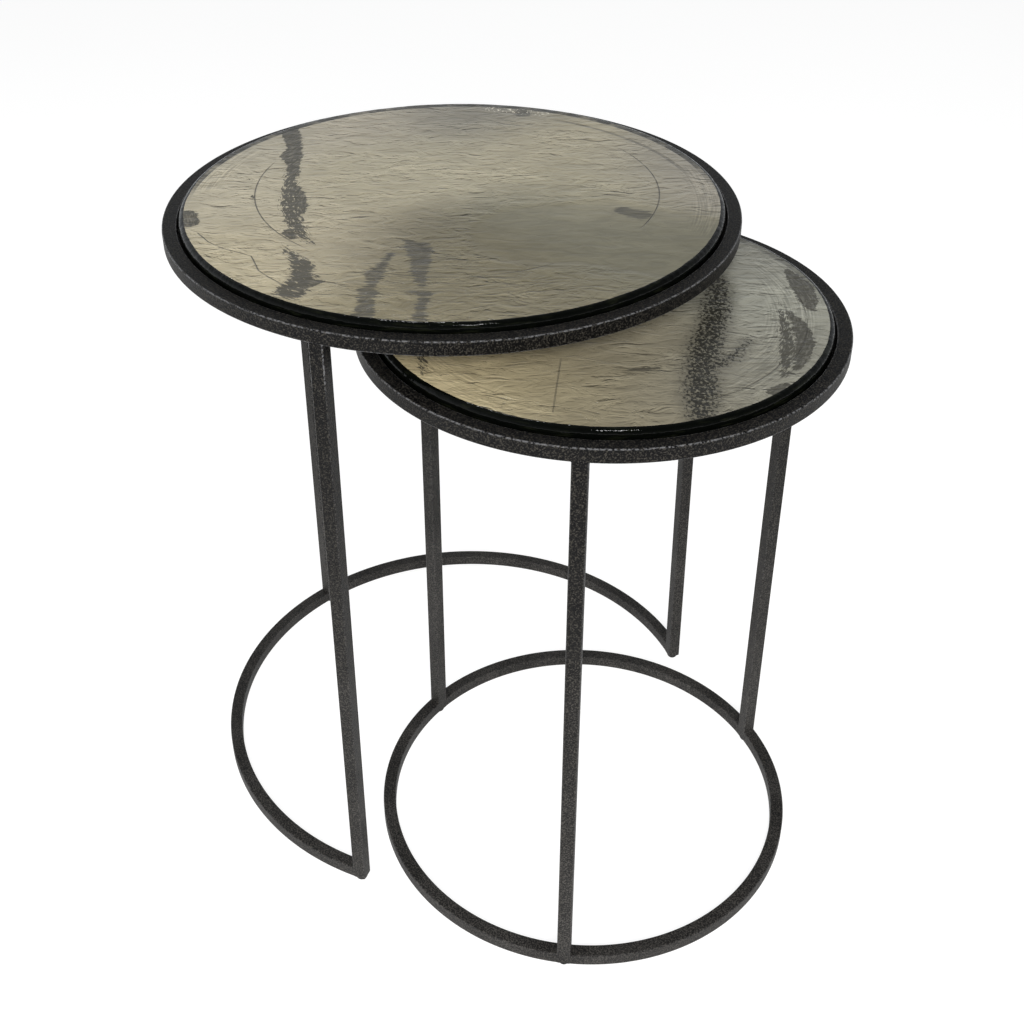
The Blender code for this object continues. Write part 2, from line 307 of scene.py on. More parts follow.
def read_table(name):
    """Sizes and places of one table, from its CAD nodes at rest."""
    ring_low, ring_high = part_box(f"{name}_top_ring")
    glass_low, glass_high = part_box(f"{name}_glass_top")
    ledge_low, ledge_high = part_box(f"{name}_glass_ledge")
    centre = Vector(((ring_low.x + ring_high.x) / 2, (ring_low.y + ring_high.y) / 2, 0.0))
    bar = ring_high.z - ring_low.z
    legs = {}
    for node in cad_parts:
        if node.startswith(f"{name}_glide_"):
            low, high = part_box(node)
            spot = (low + high) / 2 - centre
            legs[node.rsplit("_", 1)[1]] = math.degrees(math.atan2(spot.y, spot.x)) % 360.0
            glide_reach = math.hypot(spot.x, spot.y)
            glide_radius = (high.x - low.x) / 2
    base_low, base_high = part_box(f"{name}_base_arc_left")
    return {
        "name": name, "centre": centre, "bar": bar, "legs": legs,
        "ring_radius": (ring_high.x - ring_low.x) / 2, "ring_low": ring_low.z, "ring_high": ring_high.z,
        "base_radius": glide_reach + bar / 2, "base_low": base_low.z, "base_high": base_high.z,
        "glide_radius": glide_radius,
        "glass_radius": (glass_high.x - glass_low.x) / 2,
        "glass_low": glass_low.z, "glass_high": glass_high.z,
        "ledge_radius": (ledge_high.x - ledge_low.x) / 2,
        "ledge_low": ledge_low.z, "ledge_high": ledge_high.z,
    }


def base_runs(table):
    """The base bars as {side: (first leg, last leg)}, in degrees and with the last one's angle the larger."""
    legs = table["legs"]
    runs = {"left": (legs["left"], legs["back"]), "right": (legs["back"], legs["right"])}
    if f"{table['name']}_base_arc_front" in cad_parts:
        runs["front"] = (legs["right"], legs["left"] + 360.0)
    return runs


# ---------------- helpers

def linear(color):
    """A colour given as 0 to 255 on screen, as linear light."""
    shares = [value / 255.0 for value in color]
    return (*(s / 12.92 if s <= 0.04045 else ((s + 0.055) / 1.055) ** 2.4 for s in shares), 1.0)


def polar(radius, degrees):
    """(x, y) at a radius and an angle."""
    return radius * math.cos(math.radians(degrees)), radius * math.sin(math.radians(degrees))


def point_round(centre, radius, degrees, z):
    """(x, y, z) at a height, and at a radius and an angle about an upright axis."""
    return (*(Vector(polar(radius, degrees)) + centre.xy), z)


def rounded_square(half, edge):
    """Anticlockwise outline of a square bar, as (x, y, edge share): the share is 1 at the middle of a corner,
    where the coat is rubbed and, up on the rings, painted with a highlight.
    """
    outline = []
    for quarter in range(4):
        corner_x, corner_y = polar((half - edge) * math.sqrt(2), 45.0 + 90.0 * quarter)
        for step in range(EDGE_STEPS + 1):
            x, y = polar(edge, 90.0 * (quarter + step / EDGE_STEPS))
            worn_and_highlit = math.sin(math.pi * step / EDGE_STEPS)
            outline.append((corner_x + x, corner_y + y, worn_and_highlit))
    return outline


def lofted(name, loops, ring=False, worn_and_highlit=None, sharp=BAR_SHARP):
    """A closed skin over loops of equally many points: joined round if ring, or else capped at both ends."""
    count = len(loops[0])
    faces = []
    for i in range(len(loops) if ring else len(loops) - 1):
        here, there = i * count, (i + 1) % len(loops) * count
        for j in range(count):
            k = (j + 1) % count
            faces.append((here + j, here + k, there + k, there + j))
    if not ring:
        faces += [tuple(range(count)), tuple(range(len(loops) * count - count, len(loops) * count))]
    mesh = bpy.data.meshes.new(name)
    mesh.from_pydata([point for loop in loops for point in loop], [], faces)
    outward(mesh)
    mesh.shade_smooth()
    mesh.set_sharp_from_angle(angle=math.radians(sharp))
    if worn_and_highlit:
        values = np.tile(np.array(worn_and_highlit, np.float32), len(loops))
        mesh.attributes.new("worn_and_highlit", "FLOAT", "POINT").data.foreach_set("value", values)
    return mesh


def outward(mesh):
    """Turns every face's normal outwards."""
    shape = bmesh.new()
    shape.from_mesh(mesh)
    bmesh.ops.recalc_face_normals(shape, faces=shape.faces)
    shape.to_mesh(mesh)
    shape.free()


def joined(name, meshes):
    """Several closed skins in one mesh."""
    shape = bmesh.new()
    for mesh in meshes:
        shape.from_mesh(mesh)
        bpy.data.meshes.remove(mesh)
    result = bpy.data.meshes.new(name)
    shape.to_mesh(result)
    shape.free()
    result.shade_smooth()
    return result


def place_object(name, data):
    """Puts a new object in the scene."""
    obj = bpy.data.objects.new(name, data)
    bpy.context.scene.collection.objects.link(obj)
    return obj


def add_piece(name, mesh, body, materials, stands_for=()):
    """Shows a mesh as a piece that rides on a body, in place of the CAD nodes that it stands for."""
    obj = place_object(name, mesh)
    for material in materials:
        mesh.materials.append(material)
    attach(obj, body)
    if stands_for:
        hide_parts(*stands_for)
    return obj


def keep_flats_flat(obj):
    """Weighted normals, so that the flat sides of a bar shade flat up to its rounded edges."""
    weighted = obj.modifiers.new("flats", "WEIGHTED_NORMAL")
    weighted.keep_sharp = True
    weighted.weight = 100


# ---------------- steel frames

def turned_loops(centre, profile, steps):
    """A profile of (radius, z) points repeated around an upright axis."""
    loops = []
    for step in range(steps):
        turn = 360.0 * step / steps
        loops.append([point_round(centre, r, turn, z) for r, z in profile])
    return loops


def make_ring(table):
    """Rolled square bar around the glass."""
    section = rounded_square(table["bar"] / 2, BAR_EDGE)
    radius = table["ring_radius"] - table["bar"] / 2
    middle = (table["ring_low"] + table["ring_high"]) / 2
    profile = [(radius + x, middle + y) for x, y, _ in section]
    name = table["name"]
    mesh = lofted(f"{name}_ring_bar", turned_loops(table["centre"], profile, RING_STEPS), ring=True,
                  worn_and_highlit=[worn_and_highlit for _, _, worn_and_highlit in section])
    obj = add_piece(mesh.name, mesh, f"{name}_frame", [POWDER_COAT], [f"{name}_top_ring"])
    keep_flats_flat(obj)


def make_ledge(table):
    """Flat ring that the glass lies on, with its edges just broken."""
    low, high = table["ledge_low"], table["ledge_high"]
    outer = table["ledge_radius"] + OVERLAP
    inner = table["ledge_radius"] - LEDGE_WIDTH
    edge = LEDGE_EDGE
    profile = [(inner, high - edge), (inner + edge, high), (outer, high), (outer, low), (inner + edge, low),
               (inner, low + edge)]
    name = table["name"]
    mesh = lofted(f"{name}_ledge_plate", turned_loops(table["centre"], profile, RING_STEPS), ring=True,
                  sharp=LEDGE_SHARP)
    add_piece(mesh.name, mesh, f"{name}_frame", [POWDER_COAT], [f"{name}_glass_ledge"])


def leg_axis(table, side, height):
    """The middle of a leg at a height: the legs splay slightly, from the ring to the base."""
    lean = (table["base_radius"] - table["ring_radius"]) / table["ring_high"]
    x, y = polar(table["base_radius"] - table["bar"] / 2 - height * lean, table["legs"][side])
    return table["centre"] + Vector((x, y, height))


def leg_axes(table, side):
    """A leg's outward and sideways directions."""
    return (Vector((*polar(1.0, table["legs"][side]), 0.0)),
            Vector((*polar(1.0, table["legs"][side] + 90.0), 0.0)))


def make_leg(table, side):
    """Square tube from just above the floor up into the ring."""
    out, across = leg_axes(table, side)
    half, low = table["bar"] / 2, table["base_low"]
    top = table["ring_low"] + OVERLAP
    worn_and_highlit = [w for _, _, w in rounded_square(half, BAR_EDGE)]
    broken = BAR_EDGE / 2
    loops = []
    for height, inset in ((low, broken), (low + broken / 3, broken / 3), (low + broken, 0.0), (top, 0.0)):
        section = rounded_square(half - inset, BAR_EDGE)
        middle = leg_axis(table, side, height)
        loops.append([middle + out * x + across * y for x, y, _ in section])
    name = f"{table['name']}_leg_tube_{side}"
    mesh = lofted(name, loops, worn_and_highlit=worn_and_highlit)
    obj = add_piece(name, mesh, f"{table['name']}_frame", [POWDER_COAT],
                    [f"{table['name']}_leg_{side}"])
    keep_flats_flat(obj)


def make_glide(table, side):
    """Domed foot under a leg, with its stem up the leg's bore."""
    low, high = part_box(f"{table['name']}_glide_{side}")
    seat = table["base_low"]
    radius = table["glide_radius"]
    profile = [(GLIDE_STEM_RADIUS, high.z), (GLIDE_STEM_RADIUS, seat), (radius, seat)]
    for step in range(1, GLIDE_DOME_STEPS + 1):
        across, down = polar(1.0, -90.0 * step / GLIDE_DOME_STEPS)
        profile.append((GLIDE_TREAD_RADIUS + (radius - GLIDE_TREAD_RADIUS) * across,
                        seat + (seat - low.z) * down))
    middle = (low + high) / 2
    loops = []
    for r, z in profile:
        loops.append([point_round(middle, r, 360.0 * i / GLIDE_STEPS, z) for i in range(GLIDE_STEPS)])
    name = f"{table['name']}_glide_dome_{side}"
    add_piece(name, lofted(name, loops), f"{table['name']}_frame", [RUBBER],
              [f"{table['name']}_glide_{side}"])


def make_base_bar(table, side, first, last):
    """Curved square bar on the floor side of two legs, its ends let slightly into them."""
    half = table["bar"] / 2
    section = rounded_square(half, BAR_EDGE)
    middle = table["base_radius"] - half
    height = (table["base_low"] + table["base_high"]) / 2
    steps = math.ceil(math.radians(last - first) * middle / BASE_STEP)
    loops = []
    for step in range(steps + 1):
        loop = []
        for x, y, _ in section:
            radius = middle + x
            cut = math.degrees(math.asin((half - OVERLAP) / radius))
            turn = first + cut + (last - first - 2 * cut) * step / steps
            loop.append(point_round(table["centre"], radius, turn, height + y))
        loops.append(loop)
    name = f"{table['name']}_base_bar_{side}"
    mesh = lofted(name, loops, worn_and_highlit=[worn_and_highlit for _, _, worn_and_highlit in section])
    obj = add_piece(name, mesh, f"{table['name']}_frame", [POWDER_COAT],
                    [f"{table['name']}_base_arc_{side}"])
    keep_flats_flat(obj)


def weld_fillet(corner, along, away, up, length, seed):
    """A hollow fillet in a corner: it runs along, and its section spreads away from the leg and up it."""
    loops = []
    bury = WELD_RADIUS / 5
    for step in range(WELD_STEPS + 1):
        share = step / WELD_STEPS
        place = corner + along * (length * (share - 0.5))
        taper = math.sqrt(max(0.0, 1.0 - abs(2 * share - 1) ** 6)) * 0.75 + 0.25
        size = WELD_RADIUS * taper * (1.0 + WELD_LUMPS * noise.noise(Vector((seed, share * 7.0, 0.5))))
        loop = [place - away * bury - up * bury, place + away * size - up * bury]
        for i in range(WELD_ARC_STEPS + 1):
            x, y = polar(size, -90.0 - 90.0 * i / WELD_ARC_STEPS)
            loop.append(place + away * (size + x) + up * (size + y))
        loop.append(place - away * bury + up * size)
        loops.append(loop)
    return lofted("fillet", loops, sharp=FILLET_SHARP)


def make_welds(table):
    """Fillets beside every leg: under the ring, and on the base where a bar meets the leg."""
    name = table["name"]
    half = table["bar"] / 2
    up = Vector((0.0, 0.0, 1.0))
    length = table["bar"] - 2 * BAR_EDGE
    starts = [first % 360.0 for first, _ in base_runs(table).values()]
    ends = [last % 360.0 for _, last in base_runs(table).values()]
    ring_fillets, base_fillets = [], []
    for number, side in enumerate(table["legs"]):
        out, across = leg_axes(table, side)
        for way in (-1.0, 1.0):
            seed = 10.0 * number + way
            corner = leg_axis(table, side, table["ring_low"]) + across * half * way
            ring_fillets.append(weld_fillet(corner, out, across * way, -up, length, seed))
            meets = starts if way > 0 else ends
            if any(abs(table["legs"][side] - angle) < 1.0 for angle in meets):
                corner = leg_axis(table, side, table["base_high"]) + across * half * way
                base_fillets.append(weld_fillet(corner, out, across * way, up, length, seed + 50.0))
    for place, fillets in (("ring", ring_fillets), ("base", base_fillets)):
        piece = f"{name}_{place}_welds"
        add_piece(piece, joined(piece, fillets), f"{name}_frame", [POWDER_COAT])


# ---------------- cast glass

def glass_uv(table, x, y):
    """(u, v) on a glass for a point of the frame, or for arrays of them."""
    turn = math.radians(GRAIN_HEADING)
    x, y = x - table["centre"].x, y - table["centre"].y
    return x * math.cos(turn) + y * math.sin(turn), y * math.cos(turn) - x * math.sin(turn)


def stroke_depth(u, v, strokes):
    """How far each point lies inside the nearest stroke: below zero outside, and never below -MARK_REACH."""
    depth = np.full(len(u), -MARK_REACH)
    for stroke in strokes:
        for (u1, v1, w1), (u2, v2, w2) in zip(stroke, stroke[1:]):
            along_u, along_v = u2 - u1, v2 - v1
            share = ((u - u1) * along_u + (v - v1) * along_v) / (along_u ** 2 + along_v ** 2)
            share = np.clip(share, 0.0, 1.0)
            distance = np.hypot(u - u1 - share * along_u, v - v1 - share * along_v)
            depth = np.maximum(depth, w1 + share * (w2 - w1) - distance)
    return depth


def blended_tones_and_light(u, v, tones_and_light):
    """Colour of the backing at each point, with its painted reflection and light, as linear red, green, blue
    and alpha.
    """
    total, weights = np.zeros((len(u), 4)), np.zeros(len(u))
    for tone_u, tone_v, color in tones_and_light:
        weight = np.exp(-((u - tone_u) ** 2 + (v - tone_v) ** 2) / (2 * TONE_SPREAD ** 2)) + 1e-9
        total += weight[:, None] * np.array(linear(color))
        weights += weight
    return total / weights[:, None]


def ripple(u, v, seed):
    """Height of the cast ripples at a point, about -1 to 1: long along u, short along v, and patchy."""
    long_u, long_v = u / RIPPLE_LENGTH, v / RIPPLE_WIDTH
    bend = noise.noise(Vector((u / RIPPLE_BEND, v / RIPPLE_BEND, seed + 7.0)))
    wave = noise.noise(Vector((long_u, long_v + 0.8 * bend, seed)))
    finer = noise.noise(Vector((long_u * 2.1, long_v * 1.9, seed + 3.0)))
    patch = 0.65 + 0.55 * noise.noise(Vector((u / RIPPLE_PATCH, v / RIPPLE_PATCH, seed + 11.0)))
    return (wave + 0.35 * finer) * patch


def rim_wave(turn, seed, radius):
    """Unevenness of the rim at an angle, about -1 to 1."""
    x, y = polar(radius / RIM_WAVE_LENGTH, turn)
    return noise.noise(Vector((x, y, seed))) + 0.4 * noise.noise(Vector((2.7 * x, 2.7 * y, seed + 5.0)))


def glass_profile(table):
    """(radius, z, share of the ripples, share of the rim's waves) from the middle outwards."""
    radius, low, high = table["glass_radius"], table["glass_low"], table["glass_high"]
    flat = radius - GLASS_EDGE
    profile = []
    for i in range(1, GLASS_RINGS + 1):
        r = flat * i / GLASS_RINGS
        near_rim = min(1.0, max(0.0, (r - flat + RIM_BLEND) / RIM_BLEND))
        profile.append((r, high, 1.0 - 0.5 * near_rim, near_rim ** 2))
    for i in range(1, GLASS_EDGE_STEPS + 1):
        out, up = polar(GLASS_EDGE, 90.0 - 90.0 * i / GLASS_EDGE_STEPS)
        profile.append((flat + out, high - GLASS_EDGE + up, 0.0, 1.0 - 0.8 * i / GLASS_EDGE_STEPS))
    profile += [(radius, low + GLASS_LOWER_EDGE, 0.0, 0.0), (radius - GLASS_LOWER_EDGE, low, 0.0, 0.0),
                (flat, low, 0.0, 0.0)]
    return profile


def glass_points(table, profile, seed):
    """The middle of a disc's top, a circle of points for each point of its profile, and the middle below."""
    centre = table["centre"]
    waves = [rim_wave(360.0 * i / GLASS_STEPS, seed, table["glass_radius"]) for i in range(GLASS_STEPS)]
    points = [(centre.x, centre.y, table["glass_high"] + RIPPLE_HEIGHT * ripple(0.0, 0.0, seed))]
    for r, z, rippled, waved in profile:
        for i, wave in enumerate(waves):
            x, y = polar(r - waved * RIM_WAVE_HEIGHT * abs(wave), 360.0 * i / GLASS_STEPS)
            x, y = centre.x + x, centre.y + y
            lift = RIPPLE_HEIGHT * rippled * ripple(*glass_uv(table, x, y), seed) if rippled else 0.0
            lift += RIM_WAVE_HEIGHT * waved * wave * RIM_WAVE_LIFT
            points.append((x, y, z + lift))
    points.append((centre.x, centre.y, table["glass_low"]))
    return points


def glass_faces(circles):
    """(faces, material of each) of a disc: 0 for the foil on top, 1 for the rim and 2 for the paint below."""
    faces = [(0, 1 + i, 1 + (i + 1) % GLASS_STEPS) for i in range(GLASS_STEPS)]
    materials = [0] * GLASS_STEPS
    for circle in range(circles - 1):
        here, there = 1 + circle * GLASS_STEPS, 1 + (circle + 1) * GLASS_STEPS
        for i in range(GLASS_STEPS):
            j = (i + 1) % GLASS_STEPS
            faces.append((here + i, there + i, there + j, here + j))
        materials += [0 if circle < GLASS_RINGS - 1 else 2 if circle == circles - 2 else 1] * GLASS_STEPS
    last = 1 + (circles - 1) * GLASS_STEPS
    faces += [(last + i, last + GLASS_STEPS, last + (i + 1) % GLASS_STEPS) for i in range(GLASS_STEPS)]
    materials += [2] * GLASS_STEPS
    return faces, materials


def make_glass(table, look):
    """Thick cast disc: rippled top over the aged backing, wavy rounded rim, and the backing's paint below."""
    profile = glass_profile(table)
    faces, materials = glass_faces(len(profile))
    name = f"{table['name']}_glass_disc"
    mesh = bpy.data.meshes.new(name)
    mesh.from_pydata(glass_points(table, profile, look["seed"]), [], faces)
    mesh.polygons.foreach_set("material_index", materials)
    outward(mesh)
    mesh.shade_smooth()
    mesh.set_sharp_from_angle(angle=math.radians(GLASS_SHARP))
    paint_glass(mesh, table, look)
    add_piece(name, mesh, f"{table['name']}_glass",
              [make_foil(table, look), GLASS_RIM, BACKING_PAINT], [f"{table['name']}_glass_top"])


def paint_glass(mesh, table, look):
    """Stores the backing's tone, with its painted reflection and light, and the depth inside each kind of
    mark on the vertices, for the material.
    """
    places = np.zeros(len(mesh.vertices) * 3)
    mesh.vertices.foreach_get("co", places)
    places = places.reshape(-1, 3)
    u, v = glass_uv(table, places[:, 0], places[:, 1])
    tone_and_light = mesh.attributes.new("tone_and_light", "FLOAT_COLOR", "POINT")
    tone_and_light.data.foreach_set("color", blended_tones_and_light(u, v, look["tones_and_light"]).astype(np.float32).ravel())
    for kind in MARK_KINDS:
        depth = stroke_depth(u, v, look["marks"].get(kind, []))
        mesh.attributes.new(kind, "FLOAT", "POINT").data.foreach_set("value", depth.astype(np.float32))


# ---------------- materials

class Painter:
    """Short ways to add shader nodes to a material or a world and join them."""

    def __init__(self, owner):
        owner.use_nodes = True
        self.owner = owner
        self.tree = owner.node_tree
        self.shader = self.tree.nodes.get("Principled BSDF") or self.tree.nodes["Background"]

    def node(self, kind, *inputs, **settings):
        """A new node with its settings made and its leading inputs linked or set."""
        made = self.tree.nodes.new(kind)
        for key, value in settings.items():
            setattr(made, key, value)
        for socket, value in zip(made.inputs, inputs):
            self.put(socket, value)
        return made

    def put(self, socket, value):
        """Links or sets one input. None leaves it as it is."""
        if isinstance(value, bpy.types.NodeSocket):
            self.tree.links.new(value, socket)
        elif value is not None:
            socket.default_value = value

    def set(self, **values):
        """Links or sets the shader's inputs, named with _ for a space."""
        for key, value in values.items():
            self.put(self.shader.inputs[key.replace("_", " ")], value)

    def math(self, operation, *inputs, clamp=False):
        return self.node("ShaderNodeMath", *inputs, operation=operation, use_clamp=clamp).outputs[0]

    def plus(self, first, second):
        return self.math("ADD", first, second)

    def minus(self, first, second):
        return self.math("SUBTRACT", first, second)

    def larger(self, first, second):
        return self.math("MAXIMUM", first, second)

    def product(self, first, *others):
        """Several values multiplied."""
        for other in others:
            first = self.math("MULTIPLY", first, other)
        return first

    def vector(self, operation, *inputs):
        made = self.node("ShaderNodeVectorMath", *inputs, operation=operation)
        return made.outputs["Value" if operation in ("LENGTH", "DOT_PRODUCT", "DISTANCE") else "Vector"]

    def scaled(self, place, x, y, z=1.0):
        return self.vector("MULTIPLY", place, (x, y, z))

    def parts(self, vector):
        """The X, Y and Z of a vector, by name."""
        return self.node("ShaderNodeSeparateXYZ", vector).outputs

    def object_place(self):
        return self.node("ShaderNodeTexCoord").outputs["Object"]

    def attribute(self, name, output="Fac"):
        return self.node("ShaderNodeAttribute", attribute_name=name).outputs[output]

    def noise(self, place, scale, detail=2.0, roughness=0.5, distortion=0.0):
        made = self.node("ShaderNodeTexNoise", place)
        for key, value in (("Scale", scale), ("Detail", detail), ("Roughness", roughness),
                           ("Distortion", distortion)):
            made.inputs[key].default_value = value
        return made.outputs["Fac"]

    def cells(self, place, scale, output="Distance"):
        made = self.node("ShaderNodeTexVoronoi", place)
        made.inputs["Scale"].default_value = scale
        return made.outputs[output]

    def rise(self, value, start, end, low=0.0, high=1.0):
        """Smooth step from low to high as the value goes from start to end."""
        made = self.node("ShaderNodeMapRange", value, start, end, low, high, interpolation_type="SMOOTHSTEP")
        return made.outputs["Result"]

    def mix(self, share, first, second, blend="MIX"):
        """Two colours mixed. One with 3 parts is as on screen. The numbers are the node's colour sockets."""
        made = self.node("ShaderNodeMix", data_type="RGBA", blend_type=blend)
        for number, value in ((0, share), (6, first), (7, second)):
            screen = isinstance(value, tuple) and len(value) == 3
            self.put(made.inputs[number], linear(value) if screen else value)
        return made.outputs[2]

    def bump(self, height, strength, distance):
        made = self.node("ShaderNodeBump")
        for key, value in (("Strength", strength), ("Distance", distance), ("Height", height)):
            self.put(made.inputs[key], value)
        return made.outputs["Normal"]


def new_paint(name):
    """A painter for a new material."""
    return Painter(bpy.data.materials.new(name))


def make_powder_coat():
    """Fine-textured anthracite powder coat: pebbly grain, fine light flecks, rubbed edges with a painted
    highlight on the upper ones, and painted light from the floor low down.
    """
    paint = new_paint("powder_coat_textured")
    place = paint.object_place()
    height = paint.parts(place)["Z"]
    worn_and_highlit = paint.attribute("worn_and_highlit")
    grain = paint.noise(place, COAT_GRAIN, detail=1.0, roughness=0.6)
    color = paint.mix(paint.rise(grain, 0.50, 0.66), COAT_DARK, COAT_FLECK)
    rubs = paint.rise(paint.noise(place, COAT_RUBS, detail=1.0), 0.36, 0.62)
    # Rubbed edges: slightly lighter everywhere from wear, and much lighter high up, on the rings, as a
    # painted highlight
    rubbed_and_highlit = paint.product(worn_and_highlit, rubs, paint.rise(height, HIGHLIGHT_FROM, HIGHLIGHT_TO, 0.10, 0.50))
    color = paint.mix(rubbed_and_highlit, color, COAT_RUBBED_AND_HIGHLIGHT)
    clouds = paint.rise(paint.noise(place, COAT_CLOUDS), 0.25, 0.75, 0.14, 0.34)
    # Painted light from the floor: lighter towards the bottom, broken into clouds and specks
    bounce_lit = paint.product(paint.rise(height, BOUNCE_FROM, BOUNCE_TO), clouds,
                          paint.rise(grain, 0.38, 0.66, 0.30, 1.50))
    color = paint.mix(bounce_lit, color, COAT_BOUNCE_LIGHT)
    rough = paint.minus(paint.rise(grain, 0.3, 0.7, 0.48, 0.62), paint.product(worn_and_highlit, 0.22))
    relief = paint.plus(paint.product(paint.cells(place, COAT_PEBBLES), -0.6), grain)
    paint.set(Base_Color=color, Roughness=rough, Specular_IOR_Level=0.16,
              Normal=paint.bump(relief, 0.60, 0.0008))
    return paint.owner


def make_rubber():
    """Matt black moulded rubber with a fine grain and a little dust."""
    paint = new_paint("black_rubber_moulded")
    place = paint.object_place()
    grain = paint.noise(place, RUBBER_GRAIN)
    dust = paint.rise(paint.noise(place, RUBBER_SPECKS, detail=3.0), 0.52, 0.75)
    paint.set(Base_Color=paint.mix(dust, RUBBER_BLACK, RUBBER_DUST), Specular_IOR_Level=0.3,
              Roughness=paint.rise(grain, 0.3, 0.7, 0.55, 0.75), Normal=paint.bump(grain, 0.3, 0.0002))
    return paint.owner


def make_silicone():
    """Clear soft discs, slightly hazy."""
    paint = new_paint("clear_silicone_soft")
    haze = paint.noise(paint.object_place(), SILICONE_GRAIN)
    paint.set(Base_Color=paint.mix(haze, SILICONE_CLEAR, SILICONE_HAZE),
              Subsurface_Weight=0.3, Roughness=paint.rise(haze, 0.3, 0.7, 0.30, 0.48),
              Normal=paint.bump(haze, 0.2, 0.0002))
    return paint.owner


def make_backing_paint():
    """Grey protective paint on the back of the mirror, rolled on unevenly."""
    paint = new_paint("mirror_backing_paint")
    place = paint.object_place()
    streaks = paint.noise(paint.scaled(place, 1.0, 6.0), PAINT_STREAKS, detail=4.0)
    stipple = paint.noise(place, PAINT_STIPPLE)
    paint.set(Base_Color=paint.mix(streaks, PAINT_DARK, PAINT_LIGHT),
              Roughness=paint.rise(stipple, 0.3, 0.7, 0.55, 0.70), Normal=paint.bump(stipple, 0.25, 0.0003))
    return paint.owner


def make_glass_rim():
    """Bare edge of thick green glass: nearly black, glossy, and uneven from casting."""
    paint = new_paint("bottle_green_rim")
    place = paint.object_place()
    waves = paint.noise(place, RIM_WAVES, detail=3.0, roughness=0.55)
    streaks = paint.noise(paint.scaled(place, 1.0, 1.0, 9.0), RIM_STREAKS, detail=3.0)
    paint.set(Base_Color=paint.mix(paint.rise(streaks, 0.50, 0.75), RIM_DARK, RIM_GREEN),
              Roughness=0.04, Specular_IOR_Level=0.20, Normal=paint.bump(waves, 0.55, 0.0014))
    return paint.owner


# ---------------- mirror backing

class GlassPainter(Painter):
    """A painter that knows where on its glass each point is.

    spot is the point in (u, v), and seeded the same at a height that no other glass uses, for textures.
    reach is its distance from the middle, and turn its angle.
    """

    def __init__(self, name, table, seed):
        super().__init__(bpy.data.materials.new(name))
        self.seed = seed
        centred = self.vector("SUBTRACT", self.object_place(), tuple(table["centre"]))
        turned = self.node("ShaderNodeVectorRotate", centred, rotation_type="Z_AXIS")
        turned.inputs["Angle"].default_value = -math.radians(GRAIN_HEADING)
        self.spot = self.scaled(turned.outputs[0], 1.0, 1.0, 0.0)
        self.seeded = self.vector("ADD", self.spot, (0.0, 0.0, seed))
        self.reach = self.vector("LENGTH", self.spot)
        parts = self.parts(self.spot)
        self.turn = self.math("ARCTAN2", parts["Y"], parts["X"])

    def stretched(self, size, *look, place=None):
        """Noise of a size along u and v, with its detail, roughness and distortion."""
        return self.noise(self.scaled(place or self.seeded, 1 / size[0], 1 / size[1]), 1.0, *look)

    def strokes(self, lines, *look, seed=0.0):
        """Noise drawn out round the disc."""
        width, to_radian = lines
        around = self.node("ShaderNodeCombineXYZ", self.product(self.reach, 1 / width),
                           self.product(self.turn, to_radian), seed)
        return self.noise(around.outputs[0], 1.0, *look)


def arc_line(paint, arc):
    """An arc's strength on the arc, fading at its ends, and 0 away from it."""
    u, v, radius, start, end, half_width, strength = arc
    from_middle = paint.vector("SUBTRACT", paint.spot, (u, v, 0.0))
    off = paint.math("ABSOLUTE", paint.minus(paint.vector("LENGTH", from_middle), radius))
    line = paint.rise(off, half_width, max(0.3 * half_width, half_width - THIN))
    facing = paint.vector("DOT_PRODUCT", paint.vector("NORMALIZE", from_middle),
                          (*polar(1.0, (end + start) / 2), 0.0))
    half_turn = math.radians((end - start) / 2)
    ends = paint.rise(facing, math.cos(half_turn), math.cos(0.75 * half_turn))
    return paint.product(line, ends, strength)


def run_line(paint, first, last):
    """1 on a thin straight line between two points."""
    along = (last[0] - first[0], last[1] - first[1], 0.0)
    from_first = paint.vector("SUBTRACT", paint.spot, (*first, 0.0))
    share = paint.math("DIVIDE", paint.vector("DOT_PRODUCT", from_first, along), math.hypot(*along) ** 2,
                       clamp=True)
    nearest = paint.node("ShaderNodeVectorMath", along, None, None, share, operation="SCALE").outputs[0]
    return paint.rise(paint.vector("DISTANCE", from_first, nearest), THIN, 0.3 * THIN)


def mould_lines(paint, arcs, creases):
    """1 on any of the dark lines in a glass."""
    lines = [arc_line(paint, arc) for arc in arcs]
    lines += [run_line(paint, first, last) for first, last in zip(creases, creases[1:])]
    line = lines[0]
    for other in lines[1:]:
        line = paint.larger(line, other)
    return line


def foil_shade(paint, ripples, smears, calm):
    """Painted light and shade against the tone: ripples painted dark on one side, lit on the other and
    lighter on their crests, clouds, and fine lines.
    """
    shifted = paint.vector("ADD", paint.seeded, RIPPLE_STEP)
    slope = paint.minus(ripples, paint.stretched(RIPPLE_TEXTURE, 4.0, 0.60, 1.1, place=shifted))
    lit = paint.plus(paint.rise(slope, -0.15, 0.0, -0.68, 0.0), paint.rise(slope, 0.0, 0.14, 0.0, 0.30))
    lit = paint.product(lit, paint.rise(smears, 0.34, 0.66, 0.50, 1.35),
                        paint.rise(calm, 0.0, 1.0, 1.0, 0.12))
    brushing = paint.strokes(BRUSHED_LINES, 3.0, 0.6, 0.3, seed=paint.seed)
    brushed = paint.mix(paint.rise(paint.attribute("brushed"), -0.010, 0.006), (*WHITE, 1.0),
                        paint.rise(brushing, 0.35, 0.65, 0.74, 1.22))
    return paint.product(paint.plus(lit, paint.rise(ripples, 0.28, 0.72, 0.90, 1.11)),
                         paint.rise(calm, 0.0, 1.0, 1.0, 0.90), paint.rise(smears, 0.25, 0.75, 0.90, 1.10),
                         brushed)


